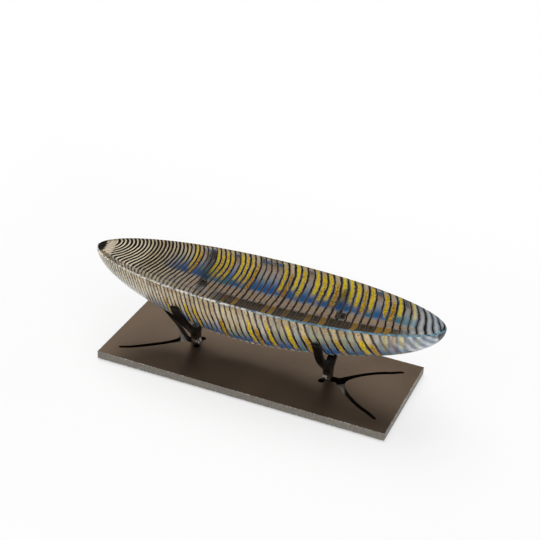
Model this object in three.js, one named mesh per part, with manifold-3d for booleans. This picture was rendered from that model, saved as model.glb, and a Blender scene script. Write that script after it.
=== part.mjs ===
// Solid glass boat resting in two forks that are cut out of one steel plate and bent up.
// Millimetres, +Z up, +X along the boat towards its higher end. The origin is under the middle of the
// plate, on the surface that the object stands on.
import * as THREE from 'three';
import { mergeVertices, toCreasedNormals } from 'three/addons/utils/BufferGeometryUtils.js';
import Module from 'manifold-3d';

const wasm = await Module();
wasm.setup();

// Steel plate
const PLATE_LENGTH = 450;
const PLATE_WIDTH = 180;
const PLATE_THICKNESS = 12;

// Bends that raise the forks
const END_LAND = 22.7;             // from the top of a tongue's pads, laid flat, to the plate's end
const BEND_RADIUS = 4;             // on the inside of the bend
const NEUTRAL_DEPTH = 4.8;         // depth in the plate where the metal keeps its length when bent
const LEFT_LEAN = 3;               // degrees that the left fork leans outwards
const RIGHT_LEAN = 0;              // degrees that the right fork leans outwards
const RELIEF_DIAMETER = 10;        // round hole at each side of the bend
const KERF = 0.6;                  // gap that the cut leaves around a tongue
const ROOT_LAP = 3;                // straight metal at each end of the bend

// Forks
const STEM_WIDTH = 12;
const ARM_WIDTH = 5;               // at the lower end of the pad
const TIP_WIDTH = 3.8;
const CONTACT_HEIGHT = 96;         // from the plate up to the top of the pads
const CROTCH_GAP = 6;              // from the keel, where it is lower, down to the bottom of the forks
const ROOT_DROP = 12.5;            // from the fork's bottom down to where the arms leave the stem
const CROTCH_PULL = 14;            // how far the fork's bottom runs level to each side
const ROOT_PULL = 4;               // how far the arms follow the stem before they part from it
const INNER_PULL = 34;             // how far the inner edge runs straight on below the pad
const OUTER_PULL = 42;             // how far the outer edge runs straight on below the pad
const LEFT_BOW = -5;               // how far the left arms are drawn outwards below their pads
const RIGHT_BOW = 9;               // how far the right arms are drawn outwards below their pads

// Glass boat
const HULL_LENGTH = 543;
const HULL_BEAM = 150;
const HULL_DEPTH = 102;
const RIM_BEVEL = 2;               // polished bevel around the flat top, as wide as it is deep
const KEEL_SHIFT = -31;            // deepest point, from the middle of the boat
const KEEL_ROUND = 24;             // length over which the keel line rounds its deepest point
const RIM_HEIGHT = 130;            // from the plate up to the middle of the flat top
const TRIM = 0.65;                 // degrees that the flat top rises towards +X

// Powers and shares that give the boat its curves: how full the plan and the keel line are, and how
// much narrower than half an ellipse a section gets towards the keel
const PLAN_POWER = 2.1;
const PLAN_FULLNESS = 0.54;
const KEEL_POWER = 1.56;
const KEEL_FULLNESS = 0.487;
const SECTION_TAPER = 0.45;

// Rubber pads on the fork arms
const PAD_THICKNESS = 1;
const PAD_HEIGHT = 13;             // from a pad's lower end up to its top
const PAD_INSET = 0.6;             // from each face of the arm
const GLUE_GAP = 0.3;              // between an arm and its pad
const CONTACT_GAP = 0.3;           // between a pad and the glass

// Felt feet under the plate
const FOOT_DIAMETER = 18;
const FOOT_THICKNESS = 2;
const FOOT_EDGE = 0.6;             // round on the foot's lower edge
const FOOT_INSET = 13;             // from the plate's edges to a foot's centre

// Smoothness of the facets
const LENGTH_STEPS = 72;
const SECTION_STEPS = 32;
const EDGE_STEPS = 12;
const PAD_STEPS = 8;
const TIP_STEPS = 6;
const BEND_STEPS = 8;
const ROUND_STEPS = 36;
const FOOT_EDGE_STEPS = 3;
const CREASE = THREE.MathUtils.degToRad(35);

const PLATE_BOTTOM = FOOT_THICKNESS;
const PLATE_TOP = PLATE_BOTTOM + PLATE_THICKNESS;
const SQUARE_BEND = (Math.PI / 2) * (BEND_RADIUS + NEUTRAL_DEPTH);
const TONGUE_LENGTH = SQUARE_BEND + CONTACT_HEIGHT - BEND_RADIUS;   // upright tongue, laid flat
const BEND_LINE = PLATE_LENGTH / 2 - END_LAND - TONGUE_LENGTH;      // where the tongues start to rise
const OVERCUT = 1;                 // how far a cutting solid passes each face of the plate
const SLOPE_STEP = 0.5;            // step over which the slope of the glass is measured

const glass = new THREE.MeshStandardMaterial({ color: 0x8f8578, roughness: 0.08, metalness: 0 });
const steel = new THREE.MeshStandardMaterial({ color: 0x4f463d, roughness: 0.42, metalness: 0.9 });
const rubber = new THREE.MeshStandardMaterial({ color: 0x101012, roughness: 0.7, metalness: 0 });
const felt = new THREE.MeshStandardMaterial({ color: 0x1b1a1a, roughness: 0.95, metalness: 0 });

// A closed geometry as a solid that can be joined and cut
function toSolid(geometry) {
  const bare = geometry.clone();
  bare.deleteAttribute('normal');
  bare.deleteAttribute('uv');
  const merged = mergeVertices(bare, 1e-4);
  const vertProperties = new Float32Array(merged.attributes.position.array);
  const triVerts = new Uint32Array(merged.index.array);
  return new wasm.Manifold(new wasm.Mesh({ numProp: 3, vertProperties, triVerts }));
}

function toGeometry(solid) {
  const mesh = solid.getMesh();
  const geometry = new THREE.BufferGeometry();
  geometry.setAttribute('position', new THREE.BufferAttribute(mesh.vertProperties, mesh.numProp));
  geometry.setIndex(new THREE.BufferAttribute(mesh.triVerts, 1));
  return toCreasedNormals(geometry, CREASE);
}

function prism(points, depth) {
  return new THREE.ExtrudeGeometry(new THREE.Shape(points), { depth, bevelEnabled: false });
}

// Half-breadth and draught of a boat-shaped surface at a distance x from its middle. Both fall from
// their largest value to nothing at the ends, and the draught is largest at the keel's deepest point,
// which is rounded by taking distances from a little way off the keel line.
function boatForm(length, beam, depth) {
  const half = length / 2;
  const fall = (used, fullness) => Math.max(0, 1 - used) ** fullness;
  const breadth = (x) => (beam / 2) * fall(Math.abs(x / half) ** PLAN_POWER, PLAN_FULLNESS);
  const eased = (distance) => Math.hypot(distance, KEEL_ROUND) ** KEEL_POWER - KEEL_ROUND ** KEEL_POWER;
  const draught = (x) => {
    const reach = x < KEEL_SHIFT ? half + KEEL_SHIFT : half - KEEL_SHIFT;
    return depth * fall(eased(x - KEEL_SHIFT) / eased(reach), KEEL_FULLNESS);
  };
  return { half, breadth, draught };
}

const outside = boatForm(HULL_LENGTH, HULL_BEAM, HULL_DEPTH);
const flatTop = boatForm(HULL_LENGTH - 2 * RIM_BEVEL, HULL_BEAM - 2 * RIM_BEVEL, HULL_DEPTH);

// Point of the boat's skin at a distance x from its middle. The angle runs from the edge on the +Y side,
// under the keel, to the other edge.
function skinPoint(x, angle) {
  const down = Math.sin(angle);
  const y = outside.breadth(x) * Math.cos(angle) * (1 - SECTION_TAPER * down ** 2);
  return [x, y, -outside.draught(x) * down];
}

// The solid boat with its flat top in the plane z = 0. Each ring of points goes from the edge of the flat
// top across the bevel, round the skin and across the other bevel, and all rings close to a point at the
// two ends. The bevel runs out where the boat is too shallow for it.
function hullGeometry() {
  const positions = [];
  const index = [];
  const last = SECTION_STEPS + 2;
  for (let i = 1; i < LENGTH_STEPS; i += 1) {
    const share = Math.sin(Math.PI * (i / LENGTH_STEPS - 0.5));
    const x = outside.half * share;
    const topX = flatTop.half * share;
    const start = Math.asin(Math.min(RIM_BEVEL / outside.draught(x), Math.SQRT1_2));
    positions.push(topX, flatTop.breadth(topX), 0);
    for (let j = 0; j <= SECTION_STEPS; j += 1) {
      positions.push(...skinPoint(x, THREE.MathUtils.lerp(start, Math.PI - start, j / SECTION_STEPS)));
    }
    positions.push(topX, -flatTop.breadth(topX), 0);
  }
  const ends = positions.length / 3;
  for (const end of [-1, 1]) positions.push(end * flatTop.half, 0, 0, end * outside.half, 0, 0);
  const vertex = (i, j) => {
    const onTop = j === 0 || j === last;
    if (i === 0) return onTop ? ends : ends + 1;
    if (i === LENGTH_STEPS) return onTop ? ends + 2 : ends + 3;
    return (i - 1) * (last + 1) + j;
  };
  const addFace = (...corners) => {
    const loop = corners.filter((corner, k) => corner !== corners[(k + 1) % corners.length]);
    for (let k = 1; k < loop.length - 1; k += 1) index.push(loop[0], loop[k], loop[k + 1]);
  };
  for (let i = 0; i < LENGTH_STEPS; i += 1) {
    for (let j = 0; j <= last; j += 1) {
      const next = (j + 1) % (last + 1);
      addFace(vertex(i, j), vertex(i + 1, j), vertex(i + 1, next), vertex(i, next));
    }
  }
  const geometry = new THREE.BufferGeometry();
  geometry.setAttribute('position', new THREE.Float32BufferAttribute(positions, 3));
  geometry.setIndex(index);
  return toCreasedNormals(geometry, CREASE);
}

const trim = THREE.MathUtils.degToRad(TRIM);

// Height of the keel over the plate as the boat rests on the stand
function keelHeight(x) {
  return RIM_HEIGHT + x * Math.sin(trim) - outside.draught(x) * Math.cos(trim);
}

// Half-breadth of the outside of the glass as it rests on the stand, at a point of the stand's frame
function glassBreadth(x, z) {
  const up = z - PLATE_TOP - RIM_HEIGHT;
  const along = x * Math.cos(trim) + up * Math.sin(trim);
  const depth = x * Math.sin(trim) - up * Math.cos(trim);
  const down = Math.max(0, depth) / outside.draught(along);
  return outside.breadth(along) * Math.sqrt(Math.max(0, 1 - down ** 2)) * (1 - SECTION_TAPER * down ** 2);
}

// One fork, drawn in the plane of its face: the first coordinate is the distance up the leg from the
// end of the bend, the second is Y. Along the pads both edges of an arm follow the glass, and below
// them they swing in to the crotch and the stem. The side is -1 for the left fork and 1 for the right.
function forkLayout(side, lean, bow) {
  const angle = THREE.MathUtils.degToRad(90 - lean);
  const bendLength = angle * (BEND_RADIUS + NEUTRAL_DEPTH);
  const run = BEND_RADIUS * Math.sin(angle);
  const rise = BEND_RADIUS * (1 - Math.cos(angle));
  const legAt = (height) => (height - rise) / Math.sin(angle);
  const glassAt = (leg) => {
    const x = side * (BEND_LINE + run + leg * Math.cos(angle));
    return glassBreadth(x, PLATE_TOP + rise + leg * Math.sin(angle));
  };
  const offGlass = (leg, distance) => {
    const slope = (glassAt(leg + SLOPE_STEP) - glassAt(leg - SLOPE_STEP)) / (2 * SLOPE_STEP);
    const outward = new THREE.Vector2(-slope, 1).normalize();
    return new THREE.Vector2(leg, glassAt(leg)).addScaledVector(outward, distance);
  };

  const topLeg = legAt(CONTACT_HEIGHT);
  const alongPad = (distanceAt) => Array.from({ length: PAD_STEPS + 1 }, (_, k) => {
    const share = k / PAD_STEPS;
    return offGlass(topLeg - PAD_HEIGHT * (1 - share), distanceAt(share));
  });
  const padOuter = CONTACT_GAP + PAD_THICKNESS;
  const armInner = padOuter + GLUE_GAP;
  const armOuter = (share) => armInner + THREE.MathUtils.lerp(ARM_WIDTH, TIP_WIDTH, share);
  const innerTop = alongPad(() => armInner);
  const outerTop = alongPad(armOuter);

  const lowerKeel = Math.min(keelHeight(-BEND_LINE), keelHeight(BEND_LINE));
  const crotch = new THREE.Vector2(legAt(lowerKeel - CROTCH_GAP), 0);
  const root = new THREE.Vector2(crotch.x - ROOT_DROP, STEM_WIDTH / 2);
  const sweep = (start, startPull, top, topPull) => {
    const topControl = top[0].clone().sub(top[1]).setLength(topPull).add(top[0]);
    topControl.y += bow;
    const curve = new THREE.CubicBezierCurve(start, start.clone().add(startPull), topControl, top[0]);
    return curve.getPoints(EDGE_STEPS).slice(0, -1);
  };
  const innerEdge = [...sweep(crotch, new THREE.Vector2(0, CROTCH_PULL), innerTop, INNER_PULL), ...innerTop];
  const outerEdge = [...sweep(root, new THREE.Vector2(ROOT_PULL, 0), outerTop, OUTER_PULL), ...outerTop];

  const tipCentre = innerTop.at(-1).clone().lerp(outerTop.at(-1), 0.5);
  const tipRadius = outerTop.at(-1).clone().sub(tipCentre);
  const tipRound = Array.from({ length: TIP_STEPS - 1 }, (_, k) => {
    const turn = -(Math.PI * (k + 1)) / TIP_STEPS;
    return tipRadius.clone().rotateAround(new THREE.Vector2(), turn).add(tipCentre);
  });
  const mirrored = (points) => points.map((point) => new THREE.Vector2(point.x, -point.y)).reverse();

  // Closed outline whose stem starts at the given distance up the leg
  const outline = (stemStart) => {
    const half = [new THREE.Vector2(stemStart, STEM_WIDTH / 2), ...outerEdge, ...tipRound];
    half.push(...innerEdge.slice(1).reverse());
    return [...half, crotch, ...mirrored(half)];
  };
  const padOutline = [...alongPad(() => CONTACT_GAP), ...alongPad(() => padOuter).reverse()];
  return { angle, bendLength, outline, pads: { back: padOutline, front: mirrored(padOutline) } };
}

// An outline moved outwards, each corner along the line that halves its angle
function grow(points, distance) {
  const turn = THREE.ShapeUtils.isClockWise(points) ? -1 : 1;
  return points.map((point, k) => {
    const before = point.clone().sub(points.at(k - 1)).normalize();
    const after = points[(k + 1) % points.length].clone().sub(point).normalize();
    const edgeNormal = new THREE.Vector2(before.y, -before.x).multiplyScalar(turn);
    const cornerNormal = new THREE.Vector2(before.y + after.y, -before.x - after.x).normalize();
    cornerNormal.multiplyScalar(turn);
    return point.clone().addScaledVector(cornerNormal, distance / cornerNormal.dot(edgeNormal));
  });
}

// Frame of a fork's leg on the +X side: up the leg, along Y, and from the outer face to the inner one
function legFrame(fork, inset) {
  const { angle } = fork;
  const up = new THREE.Vector3(Math.cos(angle), 0, Math.sin(angle));
  const inward = new THREE.Vector3(-Math.sin(angle), 0, Math.cos(angle));
  const outerRadius = BEND_RADIUS + PLATE_THICKNESS;
  const foot = new THREE.Vector3(BEND_LINE, 0, PLATE_TOP + BEND_RADIUS);
  foot.addScaledVector(inward, inset - outerRadius);
  return new THREE.Matrix4().makeBasis(up, new THREE.Vector3(0, 1, 0), inward).setPosition(foot);
}

// Bent root of a tongue on the +X side: the plate's section carried round the bend, with a short
// straight length at each end, as wide as the stem
function bendGeometry(fork) {
  const centre = new THREE.Vector2(BEND_LINE, PLATE_TOP + BEND_RADIUS);
  const arc = (radius) => Array.from({ length: BEND_STEPS + 1 }, (_, k) => {
    const turn = (fork.angle * k) / BEND_STEPS;
    return new THREE.Vector2(Math.sin(turn), -Math.cos(turn)).multiplyScalar(radius).add(centre);
  });
  const lead = (point, direction) => point.clone().addScaledVector(direction, ROOT_LAP);
  const intoPlate = new THREE.Vector2(-1, 0);
  const upLeg = new THREE.Vector2(Math.cos(fork.angle), Math.sin(fork.angle));
  const under = arc(BEND_RADIUS + PLATE_THICKNESS);
  const over = arc(BEND_RADIUS);
  const section = [
    lead(under[0], intoPlate),
    ...under,
    lead(under.at(-1), upLeg),
    lead(over.at(-1), upLeg),
    ...over.reverse(),
    lead(over.at(-1), intoPlate),
  ];
  return prism(section, STEM_WIDTH).rotateX(Math.PI / 2).translate(0, STEM_WIDTH / 2, 0);
}

// Hole that a tongue leaves in the plate on the +X side: the fork's own outline laid flat
function tongueHole(fork) {
  const flat = grow(fork.outline(-fork.bendLength), KERF);
  const hole = prism(flat, PLATE_THICKNESS + 2 * OVERCUT);
  return hole.translate(BEND_LINE + fork.bendLength, 0, PLATE_BOTTOM - OVERCUT);
}

function reliefHole(y) {
  const radius = RELIEF_DIAMETER / 2;
  const hole = new THREE.CylinderGeometry(radius, radius, PLATE_THICKNESS + 2 * OVERCUT, ROUND_STEPS);
  return hole.rotateX(Math.PI / 2).translate(BEND_LINE + BEND_RADIUS, y, (PLATE_BOTTOM + PLATE_TOP) / 2);
}

// The left fork is the same construction turned half round about the vertical axis.
const sides = [
  { name: 'left', turn: Math.PI, fork: forkLayout(-1, LEFT_LEAN, LEFT_BOW) },
  { name: 'right', turn: 0, fork: forkLayout(1, RIGHT_LEAN, RIGHT_BOW) },
];

function standGeometry() {
  const plate = new THREE.BoxGeometry(PLATE_LENGTH, PLATE_WIDTH, PLATE_THICKNESS);
  let stand = toSolid(plate.translate(0, 0, (PLATE_BOTTOM + PLATE_TOP) / 2));
  const reliefY = (STEM_WIDTH + RELIEF_DIAMETER) / 2;
  for (const { turn, fork } of sides) {
    const leg = prism(fork.outline(0), PLATE_THICKNESS).applyMatrix4(legFrame(fork, 0));
    for (const cut of [tongueHole(fork), reliefHole(reliefY), reliefHole(-reliefY)]) {
      stand = stand.subtract(toSolid(cut.rotateZ(turn)));
    }
    for (const join of [bendGeometry(fork), leg]) {
      stand = stand.add(toSolid(join.rotateZ(turn)));
    }
  }
  return toGeometry(stand);
}

function padGeometry(fork, outline, turn) {
  const pad = prism(outline, PLATE_THICKNESS - 2 * PAD_INSET);
  return pad.applyMatrix4(legFrame(fork, PAD_INSET)).rotateZ(turn);
}

function footGeometry() {
  const radius = FOOT_DIAMETER / 2;
  const edge = Array.from({ length: FOOT_EDGE_STEPS + 1 }, (_, k) => {
    const turn = (Math.PI / 2) * (k / FOOT_EDGE_STEPS);
    return new THREE.Vector2(radius + FOOT_EDGE * (Math.sin(turn) - 1), FOOT_EDGE * (1 - Math.cos(turn)));
  });
  const rim = new THREE.Vector2(radius, FOOT_THICKNESS);
  const profile = [new THREE.Vector2(0, 0), ...edge, rim, new THREE.Vector2(0, FOOT_THICKNESS)];
  return new THREE.LatheGeometry(profile, ROUND_STEPS).rotateX(Math.PI / 2);
}

function piece(name, geometry, material) {
  const mesh = new THREE.Mesh(geometry, material);
  mesh.name = name;
  return mesh;
}

const sculpture = new THREE.Group();

const boat = piece('boat_hull', hullGeometry(), glass);
boat.position.z = PLATE_TOP + RIM_HEIGHT;
boat.rotation.y = -trim;
sculpture.add(boat);

sculpture.add(piece('cradle_stand', standGeometry(), steel));

// Turned half round, the left fork's pads change places across Y.
const rows = { front: -1, back: 1 };
for (const { name, turn, fork } of sides) {
  for (const [row, ySide] of Object.entries(rows)) {
    const drawn = Math.cos(turn) * ySide > 0 ? fork.pads.back : fork.pads.front;
    sculpture.add(piece(`pad_${name}_${row}`, padGeometry(fork, drawn, turn), rubber));

    const foot = piece(`foot_${name}_${row}`, footGeometry(), felt);
    foot.position.x = Math.cos(turn) * (PLATE_LENGTH / 2 - FOOT_INSET);
    foot.position.y = ySide * (PLATE_WIDTH / 2 - FOOT_INSET);
    sculpture.add(foot);
  }
}

export default sculpture;
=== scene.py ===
"""Looks of a solid glass boat that rests in the forks of a bent steel stand.

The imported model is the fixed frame. The boat, the stand's eased edges, the pads and the feet are built
around it in metres, in the same frame, and each gets a finish that is worked out by nodes.
"""

import math
from types import SimpleNamespace

import bmesh
import bpy
import numpy as np
from bpy.props import FloatProperty, FloatVectorProperty, IntProperty, PointerProperty
from mathutils import Matrix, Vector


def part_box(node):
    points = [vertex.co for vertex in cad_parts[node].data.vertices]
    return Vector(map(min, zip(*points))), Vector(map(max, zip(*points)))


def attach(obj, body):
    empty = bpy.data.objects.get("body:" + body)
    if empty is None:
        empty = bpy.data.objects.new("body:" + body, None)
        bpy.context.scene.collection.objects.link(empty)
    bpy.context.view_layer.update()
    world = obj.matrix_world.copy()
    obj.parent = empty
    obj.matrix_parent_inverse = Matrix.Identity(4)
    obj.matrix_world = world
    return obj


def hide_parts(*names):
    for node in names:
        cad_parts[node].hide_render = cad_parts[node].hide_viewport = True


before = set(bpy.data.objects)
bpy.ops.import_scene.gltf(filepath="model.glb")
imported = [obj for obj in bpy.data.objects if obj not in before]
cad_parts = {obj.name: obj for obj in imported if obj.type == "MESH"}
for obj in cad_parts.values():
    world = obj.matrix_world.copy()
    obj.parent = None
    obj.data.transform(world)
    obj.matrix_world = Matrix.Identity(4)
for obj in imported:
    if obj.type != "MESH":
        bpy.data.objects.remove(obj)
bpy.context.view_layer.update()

bl_info = {
    "name": "Glass boat on a steel stand",
    "version": (1, 0, 0),
    "blender": (4, 5, 0),
    "location": "View3D > Sidebar > Glass boat",
    "description": "Builds a solid glass boat with lines in its skin, its bent steel stand and a stage",
    "category": "Object",
}

SIDES = ("left", "right")
ROWS = ("front", "back")
PADS = [f"pad_{side}_{row}" for side in SIDES for row in ROWS]
FEET = [f"foot_{side}_{row}" for side in SIDES for row in ROWS]

# The steel plate in metres: the height of its upper face and of its middle, its half length and half
# width, and how far from the middle its bends lie
PLATE_TOP = 0.014
PLATE_MIDDLE = PLATE_TOP - 0.006
HALF_LENGTH = 0.225
HALF_WIDTH = 0.090
BEND_MIDDLE = 0.0985

# Powers and shares of the boat's curves: how full the plan and the keel line are, and how much
# narrower than half an ellipse a section gets towards the keel
PLAN_POWER = 2.1
PLAN_FULLNESS = 0.54
KEEL_POWER = 1.56
KEEL_FULLNESS = 0.487
SECTION_TAPER = 0.45

# At the tips, where the boat is hardly deeper than its bevel, the skin starts no lower than this share of
# the draught, and the draught counts as no less than this
BEVEL_LIMIT = math.sqrt(0.5)
LEAST_DRAUGHT = 1e-9

# How far the bevel's faces and the flat top's look up at least, as the upward part of their normals
BEVEL_LOOKS_UP = 0.3
TOP_LOOKS_UP = 0.95

# Points this close are merged, faces that meet this flatly are made one, and edges that turn by more than
# these angles stay sharp
MERGE_DISTANCE = 1e-6
FLAT_TURN = math.radians(0.5)
STAND_CREASE = math.radians(35)
GLASS_CREASE = math.radians(25)
FELT_CREASE = math.radians(40)
EASED_STEPS = 2

# Half the side of the floor, and the points along it
FLOOR_HALF = 6.0
FLOOR_POINTS = 5

# From the middle of a line to the middle of the gap beside it
HALF_COUNT = 0.5

WHITE = (1.0, 1.0, 1.0)


def length(name, default, description):
    """A size in metres."""
    return FloatProperty(name=name, description=description, default=default, unit="LENGTH", precision=4)


def colour(name, default, description):
    """A linear colour without alpha."""
    return FloatVectorProperty(
        name=name, description=description, default=default, subtype="COLOR", size=3, min=0.0, max=1.0
    )


def turn(name, default, description):
    """An angle, written here in radians."""
    return FloatProperty(name=name, description=description, default=default, subtype="ANGLE")


def steps(name, default, description):
    """How many steps a surface is divided into."""
    return IntProperty(name=name, description=description, default=default, min=8)


def strength(name, default, description):
    """How strong a light is, where 1 is white."""
    return FloatProperty(name=name, description=description, default=default, min=0.0)


def direction(name, default, description):
    """Where a light comes from, as seen from the object."""
    return FloatVectorProperty(
        name=name, description=description, default=default, subtype="DIRECTION", size=3
    )


class BoatSettings(bpy.types.PropertyGroup):
    """Sizes and colours of the glass boat."""

    length: length("Length", 0.543, "From tip to tip of the flat top")
    beam: length("Beam", 0.150, "Widest breadth of the flat top")
    depth: length("Depth", 0.102, "From the flat top down to the keel's deepest point")
    bevel: length("Bevel", 0.002, "Ground bevel round the flat top")
    keel_shift: length("Keel shift", -0.031, "Deepest point of the keel, from the middle")
    keel_round: length("Keel round", 0.024, "Length over which the keel rounds its deepest point")
    top_height: length("Top height", 0.144, "Height of the middle of the flat top")
    trim: turn("Trim", math.radians(0.65), "How far the flat top rises towards +X")
    first_pitch: length("First pitch", 0.0054, "Distance between lines at the -X end")
    last_pitch: length("Last pitch", 0.0112, "Distance between lines at the +X end")
    first_run: length("First run", 0.090, "How far the first pitch reaches from the -X tip")
    last_run: length("Last run", 0.190, "How far the last pitch reaches from the +X tip")
    fan: length("Fan", 0.020, "How far a line at a tip runs on towards that tip on its way to the keel")
    bulge: length("Bulge", 0.009, "How far a line swells to +X on its way down each side")
    columns: steps("Columns", 320, "Steps along the boat")
    rows: steps("Rows", 96, "Steps round the skin")
    clear: colour("Clear", (0.97, 0.95, 0.92), "Clear glass of the body")
    clear_shade: colour("Clear shade", (0.90, 0.84, 0.76), "Warmer stretches of the clear glass")
    line: colour("Line", (0.012, 0.008, 0.006), "Dark lines in the skin and dark tips")
    cream: colour("Cream", (0.95, 0.77, 0.48), "Milky cream of the -X end and the front")
    milk: colour("Milk", (0.98, 0.89, 0.71), "Paler grains in the cream")
    fleck: colour("Fleck", (0.98, 0.94, 0.88), "Flecks in front that break up the lines at the -X end")
    mist: colour("Mist", (0.30, 0.41, 0.41), "Grey-green that the cream of the front turns to towards +X")
    pale: colour("Pale", (0.20, 0.44, 0.72), "Blue beside the lines at the +X end")
    frost: colour("Frost", (0.88, 0.93, 0.97), "Nearly white middles of the gaps at the +X end")
    yellow: colour("Yellow", (1.0, 0.76, 0.008), "Yellow streaks between the lines")
    orange: colour("Orange", (0.40, 0.13, 0.01), "Orange specks in the streaks")
    blue: colour("Blue", (0.014, 0.155, 0.48), "Waterline on both sides")
    teal: colour("Teal", (0.05, 0.24, 0.32), "Greener stretches of the waterline")
    amber: colour("Amber", (0.40, 0.25, 0.11), "Amber under the edges and beside the lines")
    smoke: colour("Smoke", (0.075, 0.045, 0.016), "Smoky strip along the keel")
    gold: colour("Gold", (0.50, 0.27, 0.02), "Golden gaps in the keel's strip")
    # Frost of the ground bevel, lightened as painted highlight
    bevel_frost_and_highlight: colour("Bevel tint", (0.95, 0.91, 0.82), "Ground bevel round the flat top, at the -X end")
    bevel_shade: colour("Bevel shade", (0.16, 0.36, 0.46), "Ground bevel at the +X end")


class StandSettings(bpy.types.PropertyGroup):
    """Finish of the steel stand, its pads and its feet."""

    edge: length("Edge", 0.0005, "Round on the edges of the plate and the forks")
    pad_edge: length("Pad edge", 0.0003, "Round on the edges of the rubber pads")
    foot_edge: length("Foot edge", 0.0006, "Round on the lower edge of the felt feet")
    patina: colour("Patina", (0.150, 0.104, 0.068), "Satin brown-black patina")
    brushed: colour("Brushed", (0.135, 0.105, 0.075), "Strokes of the grain in the patina")
    # Colour that the forks darken to upwards, and that the slot walls take as painted shade
    scale: colour("Mill scale", (0.018, 0.015, 0.013), "Blackened forks and slot walls")
    bare: colour("Bare steel", (0.30, 0.283, 0.25), "Cut edges of the plate")
    bare_shade: colour("Bare shade", (0.19, 0.178, 0.155), "Pits in the cut edges")
    # Polished metal at the bends painted lighter as painted highlights, and painted highlights along the cut
    # edges
    burnish_and_highlight: colour("Burnished steel", (0.70, 0.68, 0.63), "Spots on the inside of the bends")
    rubber: colour("Rubber", (0.012, 0.012, 0.012), "Black rubber")
    bloom: colour("Bloom", (0.028, 0.027, 0.026), "Greyer bloom on the rubber")
    felt: colour("Felt", (0.016, 0.015, 0.015), "Black felt")
    fibre: colour("Fibre", (0.055, 0.052, 0.05), "Greyer fibres of the felt")


class StageSettings(bpy.types.PropertyGroup):
    """Camera, light and floor."""

    lens: FloatProperty(name="Lens", description="Focal length", default=88.21, unit="CAMERA")
    place: FloatVectorProperty(
        name="Camera", description="Where the camera stands", default=(0.60977, -1.50598, 1.12112),
        subtype="TRANSLATION", size=3, precision=4,
    )
    azimuth: turn("Azimuth", 0.380381, "How far the camera stands to the right")
    elevation: turn("Elevation", 0.530641, "How far the camera looks down")
    roll: turn("Roll", -0.0495947, "How far the camera leans over")
    floor: colour("Floor", (0.96, 0.96, 0.96), "Pale floor")
    # Painted shade: the floor's colour under the plate
    painted_plate_shade: colour("Shaded floor", (0.45, 0.41, 0.36), "Floor under the plate")
    walls: strength("Walls", 0.09, "Strength of the light over the horizon")
    overhead: strength("Overhead", 1.1, "Strength of the light from above")
    key: strength("Key", 3.2, "Strength of the soft light")
    key_from: direction("Key from", (-0.35, 0.35, 0.87), "Where the soft light comes from")
    fill: strength("Fill", 1.3, "Strength of the softer light in front")
    fill_from: direction("Fill from", (0.40, -0.48, 0.78), "Where the softer light comes from")


# Meshes


def grid_faces(columns, rows, closed):
    """Corner indices of the quads of a columns by rows grid of points, row by row along each column.
    A closed grid also joins the last row to the first."""
    index = np.arange(columns * rows).reshape(columns, rows)
    follow = np.roll(index, -1, axis=1) if closed else index[:, 1:]
    base = index if closed else index[:, :-1]
    quads = np.stack([base[:-1], base[1:], follow[1:], follow[:-1]], axis=-1)
    return quads.reshape(-1, 4)


def new_piece(name, points, faces, body, attributes=None):
    """Object from points and faces, with point attributes, whose doubled points are merged."""
    mesh = bpy.data.meshes.new(name)
    mesh.from_pydata(points.reshape(-1, 3).tolist(), [], faces.tolist())
    for key, values in (attributes or {}).items():
        layer = mesh.attributes.new(key, "FLOAT", "POINT")
        layer.data.foreach_set("value", np.ascontiguousarray(values, dtype=np.float32).ravel())
    return finish_piece(name, mesh, body)


def finish_piece(name, mesh, body):
    """Merges doubled points, turns the faces outwards and hangs the object on its body."""
    work = bmesh.new()
    work.from_mesh(mesh)
    bmesh.ops.remove_doubles(work, verts=work.verts, dist=MERGE_DISTANCE)
    bmesh.ops.recalc_face_normals(work, faces=work.faces)
    work.to_mesh(mesh)
    work.free()
    piece = bpy.data.objects.new(name, mesh)
    bpy.context.scene.collection.objects.link(piece)
    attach(piece, body)
    return piece


def eased_copy(name, node, edge, body):
    """Merged copy of a CAD node's mesh with flat faces made whole and its edges rounded by a bevel."""
    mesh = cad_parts[node].data.copy()
    mesh.name = name
    mesh.materials.clear()
    piece = finish_piece(name, mesh, body)
    work = bmesh.new()
    work.from_mesh(mesh)
    bmesh.ops.dissolve_limit(work, angle_limit=FLAT_TURN, verts=work.verts, edges=work.edges)
    work.to_mesh(mesh)
    work.free()
    mesh.shade_smooth()
    mesh.set_sharp_from_angle(angle=STAND_CREASE)
    bevel = piece.modifiers.new("Eased edges", "BEVEL")
    bevel.width = edge
    bevel.segments = EASED_STEPS
    bevel.limit_method = "ANGLE"
    bevel.angle_limit = STAND_CREASE
    bevel.harden_normals = True
    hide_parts(node)
    return piece


def plan_breadth(x, half, beam):
    """Half-breadth at a distance x from the middle: the beam's half times a power of what a power of the
    distance's share of the half length leaves of one."""
    return beam / 2 * np.clip(1 - np.abs(x / half) ** PLAN_POWER, 0, 1) ** PLAN_FULLNESS


def keel_draught(x, sizes):
    """Depth of the keel under the flat top at a distance x from the middle: the whole depth times a power
    of what is left of one, when the share of the way from the deepest point to the tip is taken off. That
    share is of a power of distances, which are taken from a little way off the keel line so that the keel
    is round at its deepest point."""
    half = sizes.length / 2
    millimetre = 0.001

    def eased(distance):
        off = np.hypot(distance, sizes.keel_round) / millimetre
        return off ** KEEL_POWER - (sizes.keel_round / millimetre) ** KEEL_POWER

    reach = np.where(x < sizes.keel_shift, half + sizes.keel_shift, half - sizes.keel_shift)
    used = eased(x - sizes.keel_shift) / eased(reach)
    return sizes.depth * np.clip(1 - used, 0, 1) ** KEEL_FULLNESS


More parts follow.
